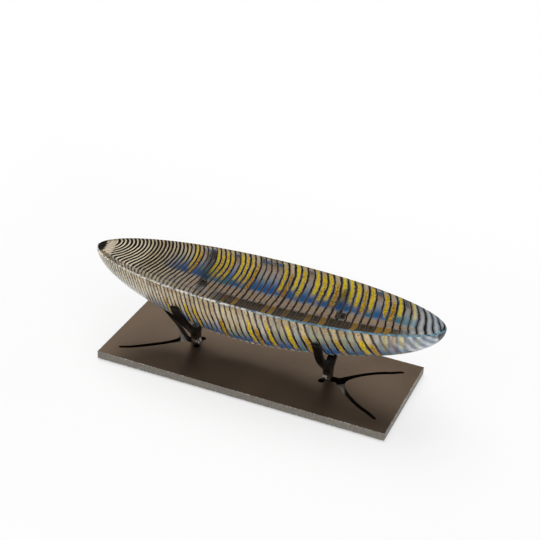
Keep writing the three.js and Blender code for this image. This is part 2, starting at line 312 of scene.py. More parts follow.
def boat_points(sizes):
    """The boat as one grid of rings along it, which crowd at the tips as the sine of an even angle does.
    Each ring goes from the flat top's back edge across the bevel, round the skin and across the bevel to
    the front edge. On the skin, breadth follows the cosine of an angle and depth its sine, and the breadth
    narrows with the square of the sine. Also gives each point's place along the boat and round it."""
    half = sizes.length / 2
    share = np.sin(np.linspace(-np.pi / 2, np.pi / 2, sizes.columns + 1))[:, None]
    x = half * share
    draught = keel_draught(x, sizes)
    start = np.arcsin(np.minimum(sizes.bevel / np.maximum(draught, LEAST_DRAUGHT), BEVEL_LIMIT))
    angle = start + (np.pi - 2 * start) * np.linspace(0, 1, sizes.rows + 1)[None, :]
    down = np.sin(angle)
    y = plan_breadth(x, half, sizes.beam) * np.cos(angle) * (1 - SECTION_TAPER * down ** 2)
    skin = np.stack([np.broadcast_to(x, y.shape), y, -draught * down], axis=-1)
    top_x = (half - sizes.bevel) * share
    top_y = plan_breadth(top_x, half - sizes.bevel, sizes.beam - 2 * sizes.bevel)
    edge = np.concatenate([top_x, top_y, np.zeros_like(top_x)], axis=1)[:, None, :]
    points = np.concatenate([edge, skin, edge * (1, -1, 1)], axis=1)
    turned = np.pad(angle, ((0, 0), (1, 1)), mode="edge")
    return points, np.broadcast_to(share, turned.shape), turned / np.pi


def place_boat(points, sizes):
    """Turns the flat top by the trim about Y and lifts it to its height on the stand."""
    cos, sin = math.cos(sizes.trim), math.sin(sizes.trim)
    x, y, z = np.moveaxis(points, -1, 0)
    return np.stack([x * cos - z * sin, y, x * sin + z * cos + sizes.top_height], axis=-1)


def line_count(points, along, around, sizes):
    """How many lines lie between the -X tip and each point. The distance between lines is even at both
    ends and grows evenly between them, where the count is the logarithm of that distance. On its way
    down each side a line swells to +X by half a sine wave that dies out towards the keel, and fans out
    towards the nearer tip by the square of the way, eased so that it crosses the keel without a kink."""
    down = 1 - np.abs(2 * around - 1)
    spread = sizes.fan * along * (2 * down ** 2 - down ** 4)
    swell = sizes.bulge * np.sin(np.pi * down) * (1 + np.cos(np.pi * down)) / 2
    from_tip = points[..., 0] + sizes.length / 2 - spread - swell
    start, end = sizes.first_run, sizes.length - sizes.last_run
    growth = (sizes.last_pitch - sizes.first_pitch) / (end - start)
    growing = np.clip(from_tip, start, end) - start
    count = np.minimum(from_tip, start) / sizes.first_pitch
    count = count + np.log(1 + growth * growing / sizes.first_pitch) / growth
    return count + np.maximum(from_tip - end, 0) / sizes.last_pitch


def foot_points(low, high, edge, around_steps=48, edge_steps=4):
    """A felt disc as a profile turned about its axis: from the middle of the lower face, round the
    lower edge, up the side and back to the middle of the upper face."""
    radius = (high[0] - low[0]) / 2
    bend = np.linspace(0, np.pi / 2, edge_steps + 1)
    out = np.concatenate([[0, radius / 2], radius - edge + edge * np.sin(bend), [radius, radius / 2, 0]])
    up = np.concatenate([[0, 0], edge - edge * np.cos(bend), [high[2] - low[2]] * 3])
    angle = np.linspace(0, 2 * np.pi, around_steps + 1)[:, None]
    x = (low[0] + high[0]) / 2 + out * np.cos(angle)
    y = (low[1] + high[1]) / 2 + out * np.sin(angle)
    return np.stack([x, y, np.broadcast_to(low[2] + up, x.shape)], axis=-1)


# Node helpers


def new_material(name):
    """New node material, its tree and its Principled shader."""
    material = bpy.data.materials.new(name)
    material.use_nodes = True
    shader = material.node_tree.nodes["Principled BSDF"]
    return material, material.node_tree, shader


def put(tree, socket, value):
    """Sets a socket to a value, or links another socket to it."""
    if isinstance(value, bpy.types.NodeSocket):
        tree.links.new(value, socket)
    elif socket.type == "RGBA":
        socket.default_value = (*value[:3], 1.0)
    else:
        socket.default_value = value


def put_all(tree, node, inputs):
    """Sets a node's inputs to values or links sockets to them."""
    for key, value in inputs.items():
        put(tree, node.inputs[key], value)


def add(tree, kind, inputs=None, **settings):
    """New node with its settings, and its inputs set to values or linked to sockets."""
    node = tree.nodes.new(kind)
    for key, value in settings.items():
        setattr(node, key, value)
    put_all(tree, node, inputs or {})
    return node


def calc(tree, operation, *values):
    """Result of a Math node."""
    return add(tree, "ShaderNodeMath", dict(enumerate(values)), operation=operation).outputs[0]


def product(tree, *values):
    """All values multiplied together."""
    result = values[0]
    for value in values[1:]:
        result = calc(tree, "MULTIPLY", result, value)
    return result


def total(tree, *values):
    """All values added up."""
    result = values[0]
    for value in values[1:]:
        result = calc(tree, "ADD", result, value)
    return result


def invert(tree, value):
    """One less the value."""
    return calc(tree, "SUBTRACT", 1.0, value)


def wander(tree, value, width):
    """A value from 0 to 1 carried to a range of that width about zero."""
    return calc(tree, "MULTIPLY_ADD", value, width, -width / 2)


def ease(tree, value, low, high):
    """0 below low, 1 above high, smooth between, or the other way round where low is the higher."""
    inputs = {"Value": value, "From Min": low, "From Max": high}
    return add(tree, "ShaderNodeMapRange", inputs, interpolation_type="SMOOTHSTEP").outputs[0]


def span(tree, value, low, high, soft):
    """1 between low and high and 0 outside, with soft ends."""
    rise = ease(tree, value, low - soft, low + soft)
    fall = ease(tree, value, high + soft, high - soft)
    return calc(tree, "MULTIPLY", rise, fall)


def remap(tree, value, low, high, to_low, to_high):
    """Value carried in a straight line from one range to another, and held at its ends."""
    inputs = {"Value": value, "From Min": low, "From Max": high, "To Min": to_low, "To Max": to_high}
    return add(tree, "ShaderNodeMapRange", inputs).outputs[0]


def tint(tree, factor, first, second):
    """First colour at factor 0, second at 1. A Mix node's sockets 6, 7 and 2 are those for colours."""
    return add(tree, "ShaderNodeMix", {0: factor, 6: first, 7: second}, data_type="RGBA").outputs[2]


def lerp(tree, factor, first, second):
    """First number at factor 0, second at 1. A Mix node's sockets 2, 3 and 0 are those for numbers."""
    return add(tree, "ShaderNodeMix", {0: factor, 2: first, 3: second}).outputs[0]


def noise(tree, vector, scale=1.0, detail=2.0, roughness=0.5):
    """Noise from 0 to 1 on a vector."""
    inputs = {"Vector": vector, "Scale": scale, "Detail": detail, "Roughness": roughness}
    return add(tree, "ShaderNodeTexNoise", inputs).outputs["Fac"]


def chance(tree, number):
    """A number from 0 to 1 that is drawn for each whole number, and held up to the next."""
    whole = calc(tree, "FLOOR", number)
    return add(tree, "ShaderNodeTexWhiteNoise", {"W": whole}, noise_dimensions="1D").outputs["Value"]


def stretched(tree, vector, scale):
    """Vector scaled by its own share along each axis."""
    return add(tree, "ShaderNodeMapping", {"Vector": vector, "Scale": scale}).outputs[0]


def object_place(tree):
    """Object coordinates and their three parts."""
    place = add(tree, "ShaderNodeTexCoord").outputs["Object"]
    parts = add(tree, "ShaderNodeSeparateXYZ", {"Vector": place}).outputs
    return place, parts[0], parts[1], parts[2]


def attribute(tree, name):
    """A point attribute's value."""
    return add(tree, "ShaderNodeAttribute", attribute_name=name).outputs["Fac"]


def off_middle(tree, count):
    """How far a count lies from the middle between two whole numbers."""
    return calc(tree, "ABSOLUTE", calc(tree, "SUBTRACT", calc(tree, "FRACT", count), HALF_COUNT))


def past_plate(tree, x, y):
    """How far a place lies outside the plate's outline, less than zero inside it."""
    past_end = calc(tree, "SUBTRACT", calc(tree, "ABSOLUTE", x), HALF_LENGTH)
    past_side = calc(tree, "SUBTRACT", calc(tree, "ABSOLUTE", y), HALF_WIDTH)
    return calc(tree, "MAXIMUM", past_end, past_side)


def seen_ray(tree):
    """1 for rays from the camera and for those that metal and glass send on."""
    ray = add(tree, "ShaderNodeLightPath").outputs
    seen = calc(tree, "MAXIMUM", ray["Is Camera Ray"], ray["Is Glossy Ray"])
    return calc(tree, "MAXIMUM", seen, ray["Is Transmission Ray"])


def sky_patch(tree, sky, middle, low, high):
    """Round patch of the sky about a direction, by the cosine from it, eased from low to high."""
    aim = {0: sky, 1: middle}
    towards = add(tree, "ShaderNodeVectorMath", aim, operation="DOT_PRODUCT").outputs["Value"]
    return ease(tree, towards, low, high)


def bump(tree, shader, height, distance):
    """Joins a height to the shader's normal."""
    inputs = {"Height": height, "Distance": distance, "Strength": 1.0}
    put(tree, shader.inputs["Normal"], add(tree, "ShaderNodeBump", inputs).outputs[0])


def mix_shaders(tree, share, shader, other):
    """Gives the surface that share of another shader."""
    mix = add(tree, "ShaderNodeMixShader", {0: share, 1: shader.outputs[0], 2: other.outputs[0]})
    put(tree, tree.nodes["Material Output"].inputs["Surface"], mix.outputs[0])


# Finishes. Of the named values, a pair is where a change starts and where it is full, or what a roughness,
# width, clearness or share changes from and to. Three are the ends of a stretch and how soft they are, or
# a noise along X, Y and Z. Noises count features per metre, heights are in metres, and a cover is the
# share of clear glass that a colour hides.

GLASS_IOR = 1.5
MOST_NOISE = (0.3, 0.7)

POLISH_CLOUDS = 30.0
POLISH_ROUGHNESS = (0.0, 0.012)
POLISH_WAVES = 18.0
POLISH_HEIGHT = 0.00002


def polished_glass():
    """Clear polished glass of the flat top, with the faint waves that polishing leaves."""
    material, tree, shader = new_material("polished_glass")
    place = object_place(tree)[0]
    put_all(tree, shader, {
        "Base Color": WHITE,
        "Transmission Weight": 1.0,
        "IOR": GLASS_IOR,
        "Roughness": remap(tree, noise(tree, place, POLISH_CLOUDS), *MOST_NOISE, *POLISH_ROUGHNESS),
    })
    bump(tree, shader, noise(tree, place, POLISH_WAVES, detail=1.0), POLISH_HEIGHT)
    return material


BEVEL_GRAIN = 240.0
BEVEL_WORN = (0.38, 0.60)
BEVEL_CLEARNESS = (0.2, 0.9)
BEVEL_ROUGHNESS = (0.08, 0.2)
BEVEL_HEIGHT = 0.00003
BEVEL_RAGGED = 0.16
BEVEL_TURNS = (-0.06, 0.10)


def ground_bevel(settings):
    """Fine-ground bevel round the flat top, which scatters what is seen through it. It passes from a pale
    cream at one end, its frost lightened as painted highlight, to a bluish green at the other."""
    material, tree, shader = new_material("ground_bevel")
    place, x = object_place(tree)[:2]
    worn = noise(tree, place, BEVEL_GRAIN)
    greener = ease(tree, total(tree, x, wander(tree, worn, BEVEL_RAGGED)), *BEVEL_TURNS)
    put_all(tree, shader, {
        "Base Color": tint(tree, greener, settings.bevel_frost_and_highlight, settings.bevel_shade),
        "Transmission Weight": remap(tree, worn, *BEVEL_WORN, *BEVEL_CLEARNESS),
        "IOR": GLASS_IOR,
        "Roughness": remap(tree, worn, *MOST_NOISE, *BEVEL_ROUGHNESS),
    })
    bump(tree, shader, worn, BEVEL_HEIGHT)
    return material


# Marks in the boat's skin. Along the boat -1 is the -X tip and 1 the +X tip, round it 0.5 is the keel, and
# up a side 0 is the keel and 1 the edge of the flat top. Lines are one count apart.
FRONT_SIDE = (0.49, 0.51)
SKIN_COARSE = 22.0
SKIN_FINE = 130.0
SKIN_GRAIN = 520.0
SKIN_FLECKS = 330.0
SKIN_LUMPS = 260.0
COARSE_SWAY = 0.6
FINE_SWAY = 0.26
LINE_STRETCH = (-0.6, 0.8)
LINE_WIDTHS = (0.165, 0.12)
LINE_WIDTH_CHANCE = 0.06
BROAD_STRETCH = (-0.40, -0.70)
BROAD_BACK = 0.29
BROAD_FRONT = 0.19
LINE_EDGE = (-0.025, 0.025)
FRINGE_EDGE = (-0.12, -0.02)
FLECK_EDGE = (0.50, 0.58)
FLECK_STRETCH = (-0.36, -0.60)
FLECK_BREAKS = 0.8
FADE_STRETCH = (0.66, 0.80)
FADE_SHARE = 0.75
RAGGED_UP = 0.16
STEP_UP = 0.3


def skin_marks(tree):
    """What the skin is coloured by: places along and up the boat, noises of three sizes, the chance and the
    middle of each gap, and the lines with their fringes. Lines sway with the noises. Towards the -X tip
    they broaden and flecks break them up in front, and towards the +X tip most of them fade in front."""
    place = object_place(tree)[0]
    along = attribute(tree, "along")
    around = attribute(tree, "around")
    front = ease(tree, around, *FRONT_SIDE)
    coarse = noise(tree, place, SKIN_COARSE)
    fine = noise(tree, place, SKIN_FINE)
    grain = noise(tree, place, SKIN_GRAIN, detail=3.0, roughness=0.6)
    sway = total(tree, wander(tree, coarse, COARSE_SWAY), wander(tree, fine, FINE_SWAY))

    # A line lies in the middle of each count, so a gap reaches from one middle to the next
    lines = total(tree, attribute(tree, "lines"), sway)
    gaps = total(tree, lines, HALF_COUNT)
    gap_chance = chance(tree, gaps)
    width = remap(tree, along, *LINE_STRETCH, *LINE_WIDTHS)
    broad = lerp(tree, front, BROAD_BACK, BROAD_FRONT)
    width = lerp(tree, ease(tree, along, *BROAD_STRETCH), width, broad)
    width = total(tree, width, wander(tree, chance(tree, lines), LINE_WIDTH_CHANCE))
    inside = calc(tree, "SUBTRACT", width, off_middle(tree, lines))
    fleck = ease(tree, noise(tree, place, SKIN_FLECKS), *FLECK_EDGE)
    fleck = product(tree, front, ease(tree, along, *FLECK_STRETCH), fleck)
    broken = product(tree, fleck, FLECK_BREAKS)
    faded = product(tree, front, ease(tree, along, *FADE_STRETCH), FADE_SHARE)
    line = product(tree, ease(tree, inside, *LINE_EDGE), invert(tree, broken), invert(tree, faded))

    # The colours' ends are ragged, and a step apart from one gap to the next
    up = calc(tree, "ABSOLUTE", calc(tree, "MULTIPLY_ADD", around, 2.0, -1.0))
    step = wander(tree, gap_chance, STEP_UP)
    return SimpleNamespace(
        place=place, along=along, front=front, coarse=coarse, fine=fine, grain=grain, fleck=fleck, line=line,
        fringe=ease(tree, inside, *FRINGE_EDGE), off_gap=off_middle(tree, gaps), gap_chance=gap_chance,
        up=up, step=step, up_stepped=total(tree, up, wander(tree, fine, RAGGED_UP), step),
    )


CLEAR_CLOUDS = (0.35, 0.7)
MILK_GRAIN = (0.35, 0.75)
AMBER_GRAIN = (0.60, 0.74)
MIST_DRIFT = 0.8
MIST_STRETCH = (-0.02, 0.30)
MIST_SHARE = 0.8
FRONT_STRETCH = (-0.95, 0.74, 0.1)
FRONT_RIM = (0.99, 0.93)
FRONT_COVER = 0.45
MILKY_END = (-0.38, -0.66)
MILKY_END_COVER = 0.75
MILKY_TIP = (-0.68, -0.86)
MILKY_TIP_COVER = 0.5
FLECK_MIST = (0.42, 0.58)
FLECK_COVER = 0.75
EDGE_GRAIN = (0.35, 0.65)
EDGE_UP = (0.78, 0.92)
EDGE_STRETCH = (-0.70, 0.72, 0.08)
EDGE_COVER = 0.6
KEEL_UP = (0.24, 0.14)
KEEL_STRETCH = (-0.34, 0.88, 0.12)
KEEL_GOLD = (0.5, 0.6)
KEEL_COVER = 0.95
WATER_HEIGHT = 0.44
WATER_WAVES = 0.12
WATER_FOOT = (-0.07, 0.03)
WATER_FADE = (0.46, 0.08)
WATER_STRETCH = (-0.62, 0.88, 0.08)
WATER_TEAL = (0.45, 0.65)
WATER_COVER = 0.92
WATER_HIDES = (0.7, 1.0)
WATER_HIDES_SHARE = 0.25
STREAK_LUMPS = 0.5
STREAK_SIDES = (0.29, 0.19)
STREAK_MORE = 0.2
STREAK_FEWER = 0.30
STREAK_DRAWN = (0.22, 0.26)
STREAK_STRETCH = (-0.54, 0.86, 0.06)
STREAK_UP = (0.47, 0.91, 0.06)
STREAK_COVER = 0.95
SPECK_GRAIN = 1.2
SPECK_EDGE = (0.56, 0.76)
PALE_GAP = (0.32, 0.08)
PALE_STRETCH = (0.70, 0.92)
PALE_SHARE = 0.9
PALE_COVER = 0.55
FRINGE_SHARE = 0.5
FRINGE_COVER = 0.35
PLAIN_END = (-0.968, -0.930, 0.005)
DARK_TIPS = (0.968, 0.976)
LINE_COVER = 1.0
SKIN_ROUGHNESS = (0.03, 0.5)
FINE_RIPPLES = 0.25
GRAIN_RIPPLES = 0.1
FLECK_RIPPLES = 0.3
RIPPLE_HEIGHT = 0.0004
LIT_BACK = 0.6
LIT_FRONT = 0.25


def banded_skin(settings):
    """Skin of the boat: clear glass with dark lines round it and dark tips. It is milky in front, where
    cream turns to mist, and at the -X end, with flecks in front there, and pale blue at the +X end. On both
    sides alike, yellow streaks lie between some of the lines, more of them towards +X and fewer in front,
    over a blue waterline, with amber under the edge and a smoky strip along the keel. Light shines through
    where colours cover the glass, less in front."""
    material, tree, shader = new_material("banded_glass_skin")
    skin = skin_marks(tree)
    along, up, front = skin.along, skin.up, skin.front
    coarse, grain = skin.coarse, skin.grain
    colour_now = tint(tree, ease(tree, coarse, *CLEAR_CLOUDS), settings.clear, settings.clear_shade)
    veil = 0.0

    def lay(mask, shade, cover):
        """Lays a colour over the skin where the mask says, which covers that share of the clear glass."""
        nonlocal colour_now, veil
        colour_now = tint(tree, mask, colour_now, shade)
        veil = lerp(tree, mask, veil, cover)

    stepped_grain = total(tree, grain, skin.step)
    milky = tint(tree, ease(tree, grain, *MILK_GRAIN), settings.cream, settings.milk)
    spotted = tint(tree, ease(tree, stepped_grain, *AMBER_GRAIN), milky, settings.amber)
    drifted = total(tree, along, wander(tree, coarse, MIST_DRIFT))
    mist = product(tree, ease(tree, drifted, *MIST_STRETCH), MIST_SHARE)
    near_side = product(tree, front, span(tree, along, *FRONT_STRETCH), ease(tree, up, *FRONT_RIM))
    lay(near_side, tint(tree, mist, spotted, settings.mist), FRONT_COVER)
    lay(ease(tree, along, *MILKY_END), milky, MILKY_END_COVER)
    lay(ease(tree, along, *MILKY_TIP), milky, MILKY_TIP_COVER)
    fleck_mix = tint(tree, ease(tree, coarse, *FLECK_MIST), settings.fleck, settings.mist)
    lay(skin.fleck, fleck_mix, FLECK_COVER)
    edge = product(tree, ease(tree, skin.up_stepped, *EDGE_UP), span(tree, along, *EDGE_STRETCH))
    edge_mix = tint(tree, ease(tree, stepped_grain, *EDGE_GRAIN), settings.amber, settings.cream)
    lay(edge, edge_mix, EDGE_COVER)
    keel = product(tree, ease(tree, up, *KEEL_UP), span(tree, along, *KEEL_STRETCH))
    keel_mix = tint(tree, ease(tree, skin.gap_chance, *KEEL_GOLD), settings.smoke, settings.gold)
    lay(keel, keel_mix, KEEL_COVER)

    # The waterline has a firm lower edge and fades upwards
    waved = calc(tree, "MULTIPLY_ADD", coarse, WATER_WAVES, up)
    over_water = calc(tree, "SUBTRACT", waved, WATER_HEIGHT)
    waterline = product(
        tree, ease(tree, over_water, *WATER_FOOT), ease(tree, over_water, *WATER_FADE),
        span(tree, along, *WATER_STRETCH),
    )
    water_mix = tint(tree, ease(tree, coarse, *WATER_TEAL), settings.blue, settings.teal)
    lay(waterline, water_mix, WATER_COVER)

    # A streak lies in the middle of its gap, with ragged sides and ends
    lumps = wander(tree, noise(tree, skin.place, SKIN_LUMPS), STREAK_LUMPS)
    drawn = calc(tree, "MULTIPLY_ADD", along, STREAK_MORE, skin.gap_chance)
    drawn = calc(tree, "SUBTRACT", drawn, product(tree, front, STREAK_FEWER))
    streaks = product(
        tree, ease(tree, drawn, *STREAK_DRAWN), ease(tree, total(tree, skin.off_gap, lumps), *STREAK_SIDES),
        span(tree, along, *STREAK_STRETCH), span(tree, skin.up_stepped, *STREAK_UP),
    )
    specks = total(tree, product(tree, grain, SPECK_GRAIN), skin.step)
    streak_mix = tint(tree, ease(tree, specks, *SPECK_EDGE), settings.yellow, settings.orange)
    lay(streaks, streak_mix, STREAK_COVER)

    pale_mix = tint(tree, ease(tree, skin.off_gap, *PALE_GAP), settings.pale, settings.frost)
    lay(product(tree, ease(tree, along, *PALE_STRETCH), PALE_SHARE), pale_mix, PALE_COVER)
    lay(product(tree, skin.fringe, FRINGE_SHARE), settings.amber, FRINGE_COVER)
    washed = product(tree, ease(tree, waterline, *WATER_HIDES), WATER_HIDES_SHARE)
    plain_end = span(tree, along, *PLAIN_END)
    drawn_line = product(tree, skin.line, invert(tree, washed), invert(tree, plain_end))
    lay(drawn_line, settings.line, LINE_COVER)
    lay(ease(tree, calc(tree, "ABSOLUTE", along), *DARK_TIPS), settings.line, LINE_COVER)

    put_all(tree, shader, {
        "Base Color": colour_now,
        "Transmission Weight": invert(tree, veil),
        "IOR": GLASS_IOR,
        "Roughness": remap(tree, keel, 0.0, 1.0, *SKIN_ROUGHNESS),
    })
    ripples = total(
        tree, coarse, product(tree, skin.fine, FINE_RIPPLES), product(tree, grain, GRAIN_RIPPLES),
        product(tree, skin.fleck, FLECK_RIPPLES),
    )
    bump(tree, shader, ripples, RIPPLE_HEIGHT)
    lit_through = add(tree, "ShaderNodeBsdfTranslucent", {"Color": colour_now})
    share = product(tree, veil, invert(tree, skin.line), lerp(tree, front, LIT_BACK, LIT_FRONT))
    mix_shaders(tree, share, shader, lit_through)
    return material


STEEL_CLOUDS = 9.0
STEEL_GRAIN = (14.0, 420.0, 420.0)
STEEL_SPECKS = 900.0
STEEL_PITS = (420.0, 420.0, 240.0)
PATINA_SHADE = 0.8
PATINA_CLOUDS = (0.30, 0.72)
PATINA_METAL = 0.85
PATINA_ROUGH_CLOUDS = (0.25, 0.75)
PATINA_ROUGHNESS = (0.34, 0.46)
STROKE_EDGE = (0.45, 0.75)
STROKE_SHARE = 0.2
CUT_RAGGED = 0.0008
CUT_EDGE = (-0.0007, -0.0001)
CUT_PITS = (0.25, 0.75)
CUT_SHARE = 0.9
CUT_ROUGHNESS = 0.55
ARRIS = (0.0048, 0.0058)
ARRIS_PITS = (0.50, 0.60)
FORK_RISE = (PLATE_TOP + 0.006, PLATE_TOP + 0.028)
SLOT_WALL_SHADE = (PLATE_TOP - 0.0003, PLATE_TOP - 0.0009)
BEND_ALONG = (-0.0045, 0.0115, 0.001)
BEND_ACROSS = (0.0068, 0.0062)
BEND_UP = (PLATE_TOP + 0.0015, PLATE_TOP + 0.0075, 0.001)
BEND_SPOTS = 300.0
BEND_SPOT_EDGE = (0.47, 0.53)
BEND_METAL = 0.3
BEND_ROUGHNESS = 0.4
STROKE_RELIEF = 0.35
SPECK_RELIEF = 0.25
PIT_RELIEF = 2.0
STEEL_HEIGHT = 0.00006


def patinated_steel(settings):
    """Satin brown-black plate with a lengthwise grain, forks that darken upwards, slot walls darkened as
    painted shade, rough bare metal on the cut edges of the plate with painted highlights along its arrises,
    and spots polished by bending where the tongues are bent, painted lighter as painted highlights."""
    material, tree, shader = new_material("patinated_steel")
    place, x, y, z = object_place(tree)
    cloud = noise(tree, place, STEEL_CLOUDS, detail=3.0, roughness=0.6)
    brushed = noise(tree, stretched(tree, place, STEEL_GRAIN))
    speck = noise(tree, place, STEEL_SPECKS, roughness=0.7)
    pits = noise(tree, stretched(tree, place, STEEL_PITS), detail=3.0, roughness=0.6)

    shade = [PATINA_SHADE * part for part in settings.patina]
    base = tint(tree, ease(tree, cloud, *PATINA_CLOUDS), shade, settings.patina)
    strokes = product(tree, ease(tree, brushed, *STROKE_EDGE), STROKE_SHARE)
    base = tint(tree, strokes, base, settings.brushed)

    # Bare metal on the cut edges, with painted highlights along the plate's upper and lower edge
    ragged = total(tree, past_plate(tree, x, y), wander(tree, pits, CUT_RAGGED))
    cut = ease(tree, ragged, *CUT_EDGE)
    worn = tint(tree, ease(tree, pits, *CUT_PITS), settings.bare_shade, settings.bare)
    off_centre = calc(tree, "ABSOLUTE", calc(tree, "SUBTRACT", z, PLATE_MIDDLE))
    painted_arris_glint = product(tree, ease(tree, off_centre, *ARRIS), ease(tree, pits, *ARRIS_PITS))
    # Painted highlight: from here worn also holds lighter spots along the upper and lower arris
    worn = tint(tree, painted_arris_glint, worn, settings.burnish_and_highlight)

    # The forks darken upwards, and the slot walls are darkened as painted shade
    raised = ease(tree, z, *FORK_RISE)
    slot_wall_shade = product(tree, ease(tree, z, *SLOT_WALL_SHADE), invert(tree, cut))
    base = tint(tree, calc(tree, "MAXIMUM", raised, slot_wall_shade), base, settings.scale)
    base = tint(tree, product(tree, cut, CUT_SHARE), base, worn)

    # Metal polished by the bending tool on the inside of each bend, painted lighter as painted highlights
    off_bend = calc(tree, "SUBTRACT", calc(tree, "ABSOLUTE", x), BEND_MIDDLE)
    burnish_and_highlight = product(
        tree, span(tree, off_bend, *BEND_ALONG), ease(tree, calc(tree, "ABSOLUTE", y), *BEND_ACROSS),
        span(tree, z, *BEND_UP), ease(tree, noise(tree, place, BEND_SPOTS), *BEND_SPOT_EDGE),
    )
    metal = lerp(tree, calc(tree, "MAXIMUM", cut, raised), PATINA_METAL, 1.0)
    rough = remap(tree, cloud, *PATINA_ROUGH_CLOUDS, *PATINA_ROUGHNESS)
    rough = lerp(tree, cut, rough, CUT_ROUGHNESS)
    put_all(tree, shader, {
        "Base Color": tint(tree, burnish_and_highlight, base, settings.burnish_and_highlight),
        "Metallic": lerp(tree, burnish_and_highlight, metal, BEND_METAL),
        "Roughness": lerp(tree, burnish_and_highlight, rough, BEND_ROUGHNESS),
    })
    relief = total(
        tree, product(tree, brushed, STROKE_RELIEF), product(tree, speck, SPECK_RELIEF),
        product(tree, cut, pits, PIT_RELIEF),
    )
    bump(tree, shader, relief, STEEL_HEIGHT)
    return material


RUBBER_BLOOM = 160.0
RUBBER_ROUGHNESS = (0.55, 0.75)
RUBBER_PEBBLES = 1800.0
RUBBER_HEIGHT = 0.00005


def black_rubber(settings):
    """Matt black rubber with a fine bloom and a pebbled skin."""
    material, tree, shader = new_material("black_rubber")
    place = object_place(tree)[0]
    bloom = noise(tree, place, RUBBER_BLOOM, detail=3.0)
    put_all(tree, shader, {
        "Base Color": tint(tree, bloom, settings.rubber, settings.bloom),
        "Roughness": remap(tree, bloom, *MOST_NOISE, *RUBBER_ROUGHNESS),
    })
    bump(tree, shader, noise(tree, place, RUBBER_PEBBLES, detail=1.0), RUBBER_HEIGHT)
    return material


FELT_FIBRES = (2600.0, 700.0, 1500.0)
FELT_CLUMPS = 420.0
FELT_ROUGHNESS = 0.95
FELT_SHEEN = 0.3
FELT_HEIGHT = 0.0003


def black_felt(settings):
    """Black felt: short fibres that lie all ways, with a soft sheen."""
    material, tree, shader = new_material("black_felt")
    place = object_place(tree)[0]
    fibre = noise(tree, stretched(tree, place, FELT_FIBRES), detail=3.0, roughness=0.7)
    clumped = product(tree, fibre, noise(tree, place, FELT_CLUMPS))
    put_all(tree, shader, {
        "Base Color": tint(tree, clumped, settings.felt, settings.fibre),
        "Roughness": FELT_ROUGHNESS,
        "Sheen Weight": FELT_SHEEN,
    })
    bump(tree, shader, clumped, FELT_HEIGHT)
    return material


FLOOR_MOTTLE = 3.0
FLOOR_MOTTLE_SHADE = 0.985
FLOOR_ROUGHNESS = 0.9
FLOOR_SPECULAR = 0.1
FLOOR_PAINTED_SHADE = (0.0, -0.012)
FLOOR_BESIDE = (-0.012, 0.004)
FLOOR_AWAY = (0.0, 0.6)
FLOOR_PLAIN = (0.66, 0.97)


def pale_floor(settings):
    """Pale floor: lit paper under the plate and, in part, round it, which takes the object's shadow, that
    passes into plain white further off, to the camera and to the rays that metal and glass send on. Under
    the plate its colour is darker as painted shade."""
    material, tree, shader = new_material("pale_floor")
    place, x, y = object_place(tree)[:3]
    past = past_plate(tree, x, y)
    mottled = [FLOOR_MOTTLE_SHADE * part for part in settings.floor]
    paper = tint(tree, noise(tree, place, FLOOR_MOTTLE, detail=1.0), mottled, settings.floor)
    put_all(tree, shader, {
        # Under the plate the floor's colour turns to a darker painted shade
        "Base Color": tint(tree, ease(tree, past, *FLOOR_PAINTED_SHADE), paper, settings.painted_plate_shade),
        "Roughness": FLOOR_ROUGHNESS,
        "Specular IOR Level": FLOOR_SPECULAR,
    })
    white = add(tree, "ShaderNodeEmission", {"Color": WHITE, "Strength": 1.0})
    plain_share = lerp(tree, ease(tree, past, *FLOOR_AWAY), *FLOOR_PLAIN)
    share = product(tree, seen_ray(tree), ease(tree, past, *FLOOR_BESIDE), plain_share)
    mix_shaders(tree, share, shader, white)
    return material


# Heights in the sky, as sines, at which the horizon's white ends and the light from above begins, and
# cosines from their middles at which the two patches begin and are full
SKY_HORIZON = (0.18, 0.40)
SKY_OVERHEAD = (0.78, 0.94)
SKY_FILL = (0.78, 0.97)
SKY_KEY = (0.86, 0.97)


# Operators


